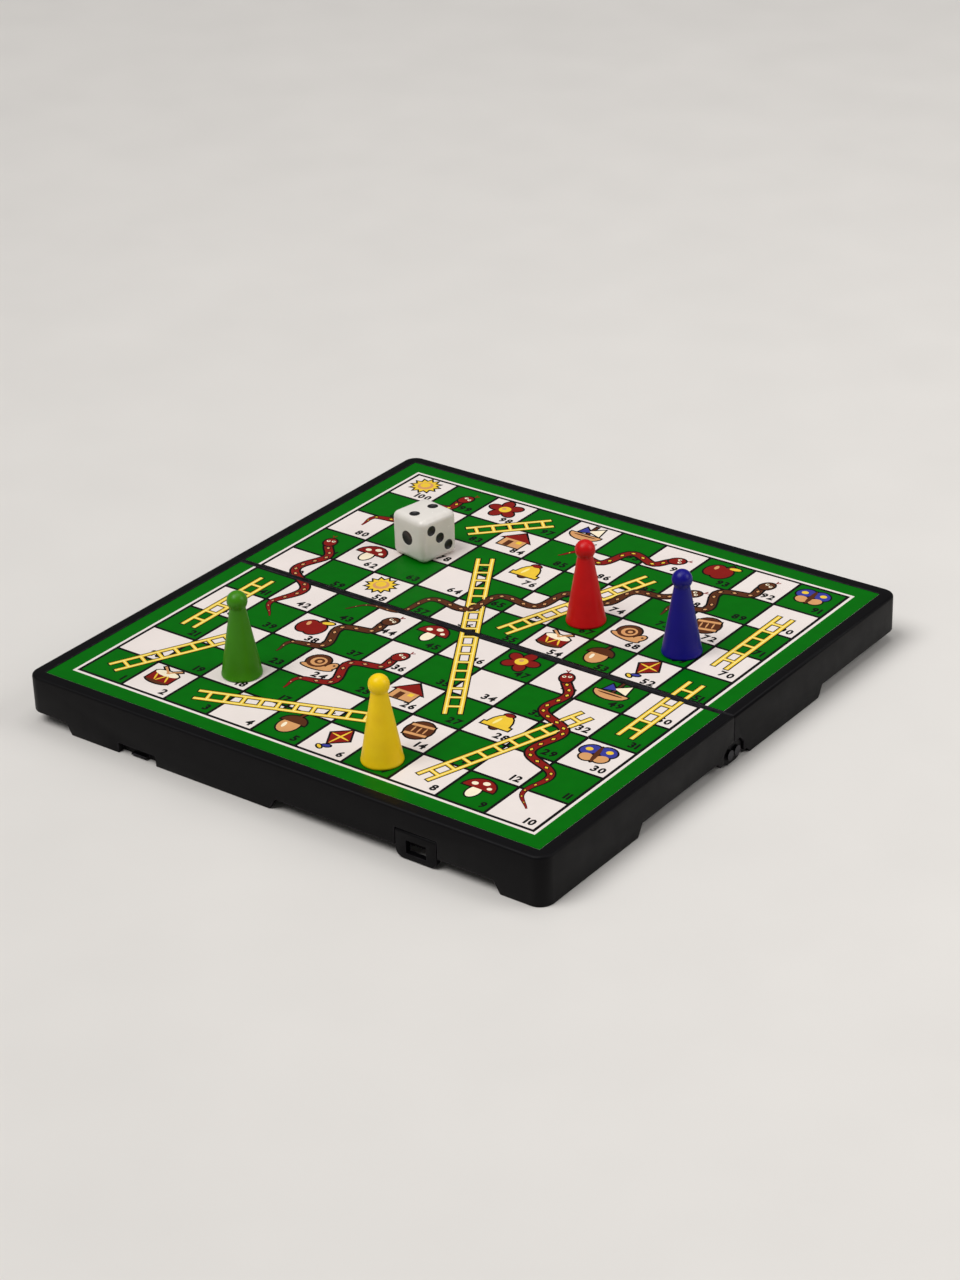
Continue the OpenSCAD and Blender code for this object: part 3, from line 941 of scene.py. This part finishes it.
# %% Cut and print the films
def printed(ink, half):
    """The part of an ink film that lies on one half, as a thin closed layer."""
    bm = film[ink].copy()
    towards_fold = 1 if half == "front" else -1
    bmesh.ops.bisect_plane(
        bm,
        geom=[*bm.verts, *bm.edges, *bm.faces],
        plane_co=(0, -towards_fold * seam, 0),
        plane_no=(0, towards_fold, 0),
        clear_outer=True,
    )
    height = bm.verts.layers.float["rise"]
    raised = bmesh.ops.extrude_face_region(bm, geom=bm.faces[:])
    for item in raised["geom"]:
        if isinstance(item, bmesh.types.BMVert):
            item.co.z += item[height]
    bmesh.ops.translate(bm, vec=(0, 0, face_z), verts=bm.verts)
    bmesh.ops.recalc_face_normals(bm, faces=bm.faces)
    return bm


for ink in film:
    for half in ("front", "back"):
        layer = printed(ink, half)
        piece = settle(f"{half}_{ink}_ink", layer, ink_finish[ink], half + "_half", "printed_sheet")
        print(piece.name, len(piece.data.polygons))
    film[ink].free()

# %% [markdown]
# ## Pawns
# A pawn is a straight cone with a small foot and a ball on top, moulded in two half moulds, with a magnet let
# into its base. Half its outline is drawn once and spun round. Two rows of points are pushed out by a hair
# for the seam that the two half moulds leave.

# %% Pawns
foot_r = 8.2
foot_h = 1.2
neck_r = 3.1
ball_r = 4.1
pawn_h = 36
magnet_r = 5.6
magnet_t = 3
cone_rows = 8
ball_rows = 16
spin_steps = 72
mould_seam = 0.05
seam_turn = Matrix.Rotation(math.radians(24), 3, "Z")


def pawn_outline():
    """Half the pawn's outline in millimetres, from the pocket of the magnet to the crown."""
    ball_z = pawn_h - ball_r
    neck_z = ball_z - math.sqrt(ball_r**2 - neck_r**2)
    cone_r = foot_r - 0.14
    points = [(0, magnet_t), (magnet_r, magnet_t), (magnet_r, 0), (foot_r - 0.4, 0)]
    points += [(foot_r - 0.12, 0.12), (foot_r, 0.4), (foot_r, foot_h - 0.3), (cone_r, foot_h)]
    for step in range(1, cone_rows):
        share = step / cone_rows
        points.append((cone_r - share * (cone_r - neck_r), foot_h + share * (neck_z - foot_h)))
    start = math.asin((neck_z - ball_z) / ball_r)
    points.append((neck_r + 0.04, neck_z - 0.25))
    for step in range(1, ball_rows + 1):
        angle = start + (math.pi / 2 - start) * step / ball_rows
        points.append((ball_r * math.cos(angle), ball_z + ball_r * math.sin(angle)))
    points[-1] = (0, pawn_h)
    return points


for hue in pawn_colours:
    low, high = (Vector(corner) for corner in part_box(hue + "_pawn"))
    stand = Vector(((low.x + high.x) / 2, (low.y + high.y) / 2, low.z))
    bm = bmesh.new()
    verts = [bm.verts.new((radius * mm, 0, level * mm)) for radius, level in pawn_outline()]
    edges = [bm.edges.new(pair) for pair in zip(verts, verts[1:])]
    bmesh.ops.spin(
        bm,
        geom=[*verts, *edges],
        axis=(0, 0, 1),
        cent=(0, 0, 0),
        angle=math.tau,
        steps=spin_steps,
        use_merge=True,
    )
    bmesh.ops.remove_doubles(bm, verts=bm.verts, dist=sliver)
    bmesh.ops.recalc_face_normals(bm, faces=bm.faces)
    for vert in bm.verts:
        reach = math.hypot(vert.co.x, vert.co.y)
        on_seam = abs(vert.co.y) < sliver
        if on_seam and reach > neck_r * mm * 0.6 and vert.co.z > foot_h * mm * 1.1:
            vert.co.x *= 1 + mould_seam * mm / reach
    bmesh.ops.rotate(bm, matrix=seam_turn, cent=(0, 0, 0), verts=bm.verts)
    bmesh.ops.translate(bm, vec=stand, verts=bm.verts)
    settle(hue + "_playing_piece", bm, pawn_plastic[hue], hue + "_piece", hue + "_plastic", hue + "_pawn")
    print(hue, "pawn stands at", [round(part / mm, 1) for part in stand])

# %% [markdown]
# ## Die
# The die is a cube with well rounded edges. Its pips are drilled as shallow round hollows and painted black.
# A Boolean with small balls cuts the hollows; the paint is the lower cap of each ball, a little thick.

# %% Die
die_edge = 19.6
die_round = 2.8
round_steps = 6
pip_r = 1.9
low_pip_r = 2.4
one_pip_r = 3.4
pip_depth = 0.8
pip_share = 0.235
two_share = 0.26
pip_off = pip_share * die_edge
two_off = two_share / pip_share
die_low, die_high = (Vector(corner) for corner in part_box("die"))
die_at = (die_low + die_high) / 2
die_place = Matrix.Translation(die_at) @ Matrix.Rotation(math.radians(-11), 4, "Z")
corners = [(1, 1), (-1, -1), (1, -1), (-1, 1)]
pip_sets = {
    1: [(0, 0)],
    2: [(0, two_off), (0, -two_off)],
    3: [(1, 1), (0, 0), (-1, -1)],
    4: corners,
    5: [*corners, (0, 0)],
    6: [*corners, (-1, 0), (1, 0)],
}
die_faces = {
    2: Matrix.Identity(4),
    5: Matrix.Rotation(math.pi, 4, "X"),
    1: Matrix.Rotation(math.pi / 2, 4, "X"),
    6: Matrix.Rotation(-math.pi / 2, 4, "X"),
    3: Matrix.Rotation(math.pi / 2, 4, "Y"),
    4: Matrix.Rotation(-math.pi / 2, 4, "Y"),
}


def pip_balls(bm, shrink):
    """A ball for every pip, sunk by the pip's depth, and the way out of each face."""
    balls = []
    for value, turn in die_faces.items():
        radius = {1: one_pip_r, 2: low_pip_r, 3: low_pip_r}.get(value, pip_r)
        ball_size = (radius**2 + pip_depth**2) / (2 * pip_depth)
        up = die_edge / 2 - pip_depth + ball_size
        for across, along in pip_sets[value]:
            spot = Matrix.Translation((across * pip_off * mm, along * pip_off * mm, up * mm))
            place = die_place @ turn @ spot
            made = bmesh.ops.create_uvsphere(
                bm, u_segments=28, v_segments=20, radius=(ball_size - shrink) * mm, matrix=place
            )
            out = (die_place @ turn).to_3x3() @ Vector((0, 0, 1))
            balls.append((made["verts"], out, die_at + out * (die_edge / 2) * mm))
    return balls


bm = bmesh.new()
bmesh.ops.create_cube(bm, size=die_edge * mm, matrix=die_place)
bmesh.ops.bevel(
    bm, geom=bm.edges, offset=die_round * mm, affect="EDGES", segments=round_steps, profile=0.5, material=-1
)
bmesh.ops.recalc_face_normals(bm, faces=bm.faces)
print("die body has", len(bm.faces), "faces")

# %% Hollows and paint of the die
die_crease = math.radians(20)
paint_gap = 0.03
paint_below = 0.06
paint_thick = 0.02
die_piece = settle("die_cube", bm, die_plastic, "die_piece", "die_plastic", "die")
cutter_mesh = bpy.data.meshes.new("pip_drill")
bm = bmesh.new()
pip_balls(bm, 0)
bm.to_mesh(cutter_mesh)
bm.free()
cutter = bpy.data.objects.new("pip_drill", cutter_mesh)
bpy.context.scene.collection.objects.link(cutter)
drill = die_piece.modifiers.new("drill", "BOOLEAN")
drill.operation = "DIFFERENCE"
drill.solver = "EXACT"
drill.object = cutter
bpy.context.view_layer.update()
drilled_die = die_piece.evaluated_get(bpy.context.evaluated_depsgraph_get())
drilled = bpy.data.meshes.new_from_object(drilled_die)
die_piece.modifiers.clear()
die_piece.data = drilled
bpy.data.objects.remove(cutter)
drilled.polygons.foreach_set("use_smooth", [True] * len(drilled.polygons))
drilled.set_sharp_from_angle(angle=die_crease)
bm = bmesh.new()
for verts, out, level in pip_balls(bm, paint_gap):
    geom = [*verts]
    geom += {item for vert in verts for item in vert.link_edges}
    geom += {face for vert in verts for face in vert.link_faces}
    brim = level - out * paint_below * mm
    bmesh.ops.bisect_plane(bm, geom=geom, plane_co=brim, plane_no=out, clear_outer=True)
bmesh.ops.recalc_face_normals(bm, faces=bm.faces)
for face in bm.faces:
    inward = die_at - face.calc_center_median()
    if face.normal.dot(inward) > 0:
        face.normal_flip()
bmesh.ops.solidify(bm, geom=bm.faces[:], thickness=paint_thick * mm)
paint = settle("die_pip_paint", bm, pip_paint, "die_piece", "pip_paint", "die_pips")
print("die faces:", len(drilled.polygons), "paint faces:", len(paint.data.polygons))

# %% [markdown]
# ## Floor and finish
# The board lies on a plain pale table.

# %% Floor and finish
table_half = 4.0
table_pale = finish(
    "table_pale", (226, 222, 217), rough=(0.5, 0.6), shade=0.012,
    cloud=90 * mm, grain=2 * mm, depth=0.02 * mm,
)
bm = bmesh.new()
bmesh.ops.create_grid(bm, x_segments=4, y_segments=4, size=table_half)
floor_mesh = bpy.data.meshes.new("table")
bm.to_mesh(floor_mesh)
bm.free()
floor_mesh.materials.append(table_pale)
floor = bpy.data.objects.new("table", floor_mesh)
bpy.context.scene.collection.objects.link(floor)
